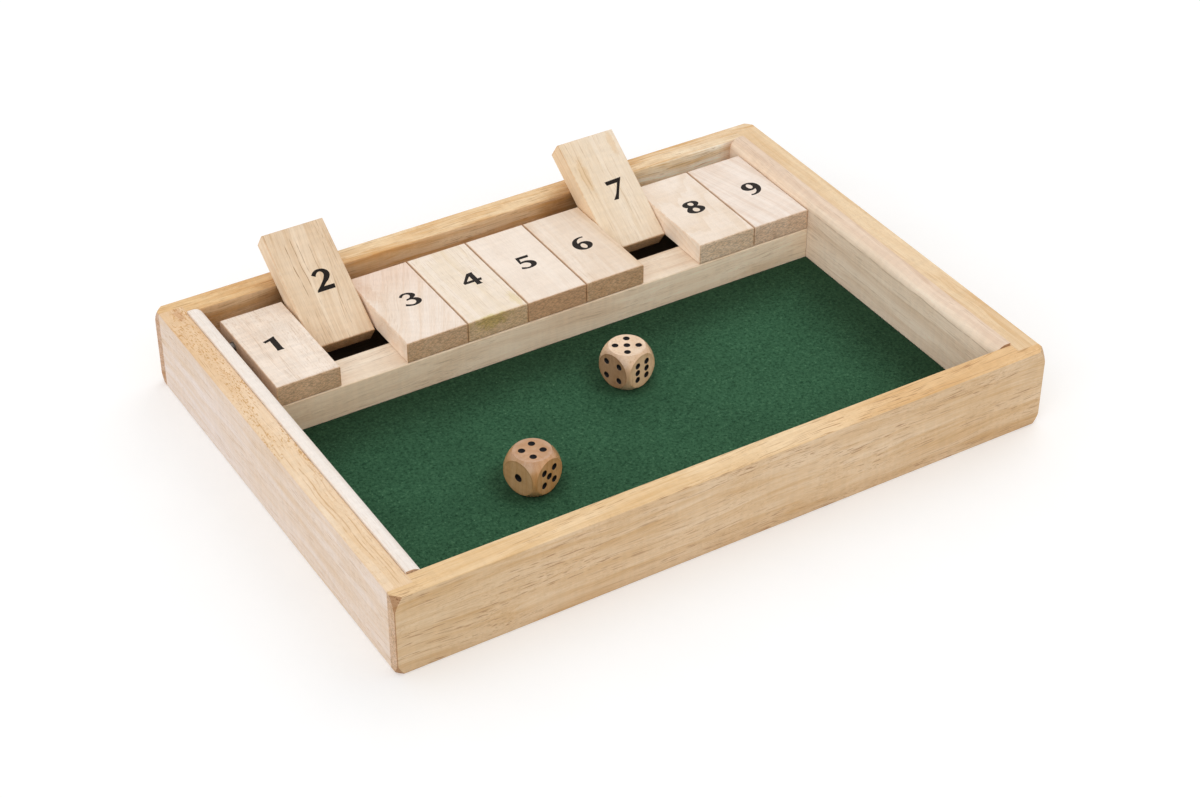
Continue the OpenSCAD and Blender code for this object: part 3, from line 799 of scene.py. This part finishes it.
ink = {
    "thick": 0.03, "sunk": 0.012,  # mm, and how much of that lies in the wood
    # how far it bled
    "spread": {1: 0.26, 2: 0.2, 3: 0.15, 4: 0.15, 5: 0.1, 6: 0.15, 7: 0.1, 8: 0.19, 9: 0.18},
    # how far each print is off the middle of its tile, across and along, on the face seen first
    "front": {1: (-2.2, 0.5), 2: (2.2, 0.6), 3: (2.4, 0.9), 4: (2.5, 0.6), 5: (0.6, 0.4), 6: (0.0, 0.5),
              7: (2.3, -0.5), 8: (0.5, 0.4), 9: (2.8, 0.2)},
    "back": dict.fromkeys(range(1, 10), (0.6, -0.4)),  # and on the other one
}


def makeNumeral(number, name, matrix):
    curve = bpy.data.curves.new(name, "CURVE")
    curve.dimensions = "2D"
    curve.fill_mode = "BOTH"
    curve.resolution_u = 8
    curve.extrude = ink["thick"] / 2
    curve.offset = ink["spread"][number]
    for contour in numeralShapes[number]:
        spline = curve.splines.new("BEZIER")
        spline.bezier_points.add(len(contour) - 1)
        spline.use_cyclic_u = True
        for point, (x, y, *rounded) in zip(spline.bezier_points, contour):
            point.co = (x, y, 0)
            point.handle_left_type = point.handle_right_type = "AUTO" if rounded else "VECTOR"
    flat = placeObject(name + "_curve", curve)
    bpy.context.view_layer.update()
    mesh = bpy.data.meshes.new_from_object(flat)
    bpy.data.objects.remove(flat)
    bm = bmesh.new()
    bm.from_mesh(mesh)
    bmesh.ops.remove_doubles(bm, verts=bm.verts, dist=0.001)
    bmesh.ops.recalc_face_normals(bm, faces=bm.faces)
    bmesh.ops.transform(bm, matrix=matrix, verts=bm.verts)
    bpy.data.meshes.remove(mesh)
    return finishMesh(bm, name)


for number in numeralShapes:
    tile = f"tile_{number}"
    centre, (along, _, out), half = pieceAxes(tile, "tile")
    for label, sign in (("front", 1), ("back", -1)):
        shiftX, shiftY = ink[label][number]
        face, up = out * sign, along * sign
        middle = centre + face * (half[2] + (ink["thick"] / 2 - ink["sunk"]) * mm)
        middle = middle + across * shiftX * mm + up * shiftY * mm
        matrix = Matrix((across, up, face)).transposed().to_4x4()
        matrix = Matrix.Translation(middle) @ matrix @ Matrix.Scale(mm, 4)
        if number == 9:
            matrix = matrix @ Matrix.Rotation(math.pi, 4, "Z")
        name = f"numeral_{number}_{label}"
        linkPiece(name, makeNumeral(number, name, matrix), inkBlack, tile)
print("numerals printed")


felt = {
    "step": 1.6,  # mesh step in mm
    "wave": 0.05,  # how far the nap rises and falls
    "longWave": (0.045, 0.7), "shortWave": (0.6, 0.3),  # waves in a mm, and share
    "edge": 0.25,  # rounding of the cut edge
    "shade": (0.009, 0.040, 0.019), "mid": (0.045, 0.126, 0.065), "light": (0.150, 0.295, 0.174),
    "turns": (12.0, 57.0, 101.0, 148.0),  # degrees: matted fibres lie every way
    "bend": (0.5, 0.5, 0.5), "bendReach": 2.4,  # waves in a mm, and mm
    "fibre": {"stretch": (0.55, 4.2, 4.2), "rough": 0.6},
    "clump": {"stretch": (0.85, 0.85, 0.85), "detail": 3.0, "rough": 0.65, "shift": 5.0},
    "broad": {"stretch": (0.035, 0.035, 0.035), "detail": 3.0, "shift": 9.0}, "broadTone": (0.92, 1.08),
    "strandShare": 0.75, "clumpShare": 0.5, "midLevel": (0.52, 0.78), "lightLevel": (0.76, 0.94),
    "rough": (0.5, 0.9, 0.85, 1.0), "bump": (0.9, 0.00025),
    "wallShade": (0.57, 0.52, 0.50),  # painted shade on the felt beside the right liner and the rail
    "liner": (37.0, 8.0), "rail": (36.0, 7.0),  # where it begins and is full, in mm from each
    "diceShadow": (0.72, 0.67, 0.65),  # painted shadow round the resting dice; it stays on the felt when the dice move
    "ring": (18.0, 10.5), "ringBack": 4.5, "ringWander": 6.0,  # where it begins and is full, and its place
}


def makeFeltMaterial():
    material, tree, shader = newMaterial("green_felt")
    where = addNode(tree, "TexCoord").outputs["Object"]
    local = vectorCalc(tree, "MULTIPLY", where, (1 / mm, 1 / mm, 1 / mm))
    strands = 0.0
    for turn in felt["turns"]:
        turned = addNode(tree, "Mapping", {
            "Vector": local, "Rotation": (0, 0, math.radians(turn))}).outputs[0]
        bend = calc(tree, "MULTIPLY", patternNoise(tree, turned, felt["bend"], shift=turn), felt["bendReach"])
        bent = vectorCalc(tree, "ADD", turned, addNode(tree, "CombineXYZ", {1: bend}).outputs[0])
        strands = calc(tree, "MAXIMUM", strands, patternNoise(tree, bent, **felt["fibre"], shift=turn))
    clump = patternNoise(tree, local, **felt["clump"])
    broad = patternNoise(tree, local, **felt["broad"])
    level = calc(tree, "ADD", calc(tree, "MULTIPLY", strands, felt["strandShare"]),
                 calc(tree, "MULTIPLY", clump, felt["clumpShare"]))
    colour = blendColour(tree, ramp(tree, level, *felt["midLevel"]), (*felt["shade"], 1), (*felt["mid"], 1))
    colour = blendColour(tree, ramp(tree, level, *felt["lightLevel"]), colour, (*felt["light"], 1))
    tone = ramp(tree, broad, *noiseSpan, *felt["broadTone"])
    colour = blendColour(tree, 1.0, colour, greyColour(tree, tone), "MULTIPLY")
    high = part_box("felt")[1] / mm
    x, y, _ = splitVector(tree, local)
    # painted shade on the felt beside the right liner and the rail
    wallShade = calc(tree, "MAXIMUM", ramp(tree, x, *(high.x - reach for reach in felt["liner"])),
                   ramp(tree, y, *(high.y - reach for reach in felt["rail"])))
    colour = tintColour(tree, wallShade, colour, felt["wallShade"])
    # painted shadows round the resting dice, set a little behind each
    wander = calc(tree, "MULTIPLY", calc(tree, "SUBTRACT", broad, 0.5), felt["ringWander"])
    for die in dieLooks:
        middle = sum(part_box(die), Vector()) / 2 / mm + away * felt["ringBack"]
        off = vectorCalc(tree, "MULTIPLY", vectorCalc(tree, "SUBTRACT", local, middle), (1.0, 1.0, 0.0))
        off = calc(tree, "ADD", vectorCalc(tree, "LENGTH", off), wander)
        colour = tintColour(tree, ramp(tree, off, *felt["ring"]), colour, felt["diceShadow"])
    tree.links.new(colour, shader.inputs["Base Color"])
    tree.links.new(ramp(tree, level, *felt["rough"]), shader.inputs["Roughness"])
    shader.inputs["Specular IOR Level"].default_value = 0.05
    shader.inputs["Sheen Weight"].default_value = 0.06
    shader.inputs["Sheen Roughness"].default_value = 0.5
    shader.inputs["Sheen Tint"].default_value = (0.35, 0.8, 0.5, 1)
    addBump(tree, shader, level, *felt["bump"])
    return material


def makeFelt():
    low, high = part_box("felt")
    size = high - low
    bm = bmesh.new()
    columns, rows = (max(2, round(size[i] / mm / felt["step"])) for i in (0, 1))
    middle = Vector(((low.x + high.x) / 2, (low.y + high.y) / 2, high.z))
    bmesh.ops.create_grid(bm, x_segments=columns, y_segments=rows, size=0.5,
                          matrix=Matrix.Translation(middle) @ Matrix.Diagonal((size.x, size.y, 1, 1)))
    rim = [v for v in bm.verts if v.is_boundary]
    for vert in bm.verts:
        spot = vert.co / mm
        waves = (noise.noise(spot * scale) * share for scale, share in (felt["longWave"], felt["shortWave"]))
        vert.co.z -= felt["wave"] * mm * sum(waves, 1)
    for vert in rim:
        vert.co.z -= felt["edge"] * mm
    edge = bmesh.ops.extrude_edge_only(bm, edges=[e for e in bm.edges if e.is_boundary])
    skirt = [v for v in edge["geom"] if isinstance(v, bmesh.types.BMVert)]
    for vert in skirt:
        vert.co.z = low.z
    bmesh.ops.contextual_create(bm, geom=[e for e in edge["geom"] if isinstance(e, bmesh.types.BMEdge)])
    bmesh.ops.recalc_face_normals(bm, faces=bm.faces)
    for face in bm.faces:
        face.smooth = abs(face.normal.z) > 0.6
    sheet = linkPiece("felt_sheet", finishMesh(bm, "felt_sheet"), makeFeltMaterial(), "tray")
    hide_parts("felt")


makeFelt()
print("felt laid")


studio = {
    "world": 0.80,
    "floor": (0.875, 0.885), "floorLift": 0.16, "floorRadius": 6.0,  # metres
    "lamps": {  # direction the light comes from, its strength and its angular width
        "right": {"from": (1.0, 0.6, 1.0), "strength": 0.14, "width": 50.0},
        "left": {"from": (-1.0, -0.7, 0.8), "strength": 0.20, "width": 50.0},
    },
}


def seenDirectly(tree):
    path = addNode(tree, "LightPath").outputs
    either = calc(tree, "MAXIMUM", path["Is Camera Ray"], path["Is Glossy Ray"])
    return calc(tree, "MAXIMUM", either, path["Is Transmission Ray"])


def makeStudio():
    world = bpy.data.worlds.new("studio")
    bpy.context.scene.world = world
    world.use_nodes = True
    tree = world.node_tree
    back = tree.nodes["Background"]
    back.inputs["Color"].default_value = (1, 1, 1, 1)
    strength = ramp(tree, seenDirectly(tree), 0.0, 1.0, studio["world"], 1.0)
    tree.links.new(strength, back.inputs["Strength"])

    material, tree, shader = newMaterial("pale_floor")
    speck = patternNoise(tree, addNode(tree, "TexCoord").outputs["Object"], (40.0, 40.0, 40.0), detail=3.0)
    tree.links.new(greyColour(tree, ramp(tree, speck, *noiseSpan, *studio["floor"])),
                   shader.inputs["Base Color"])
    shader.inputs["Roughness"].default_value = 0.9
    shader.inputs["Specular IOR Level"].default_value = 0.1
    shader.inputs["Emission Color"].default_value = (1, 1, 1, 1)
    tree.links.new(calc(tree, "MULTIPLY", seenDirectly(tree), studio["floorLift"]),
                   shader.inputs["Emission Strength"])
    bm = bmesh.new()
    bmesh.ops.create_circle(bm, cap_ends=True, segments=96, radius=studio["floorRadius"])
    mesh = finishMesh(bm, "floor")
    mesh.materials.append(material)
    placeObject("floor", mesh)

    for name, lamp in studio["lamps"].items():
        data = bpy.data.lights.new(name, "SUN")
        data.energy = lamp["strength"] * math.pi
        data.angle = math.radians(lamp["width"])
        obj = placeObject(name, data)
        obj.rotation_euler = Vector(lamp["from"]).to_track_quat("Z", "Y").to_euler()
    bpy.context.scene.view_settings.view_transform = "Standard"


makeStudio()
print("studio lit")
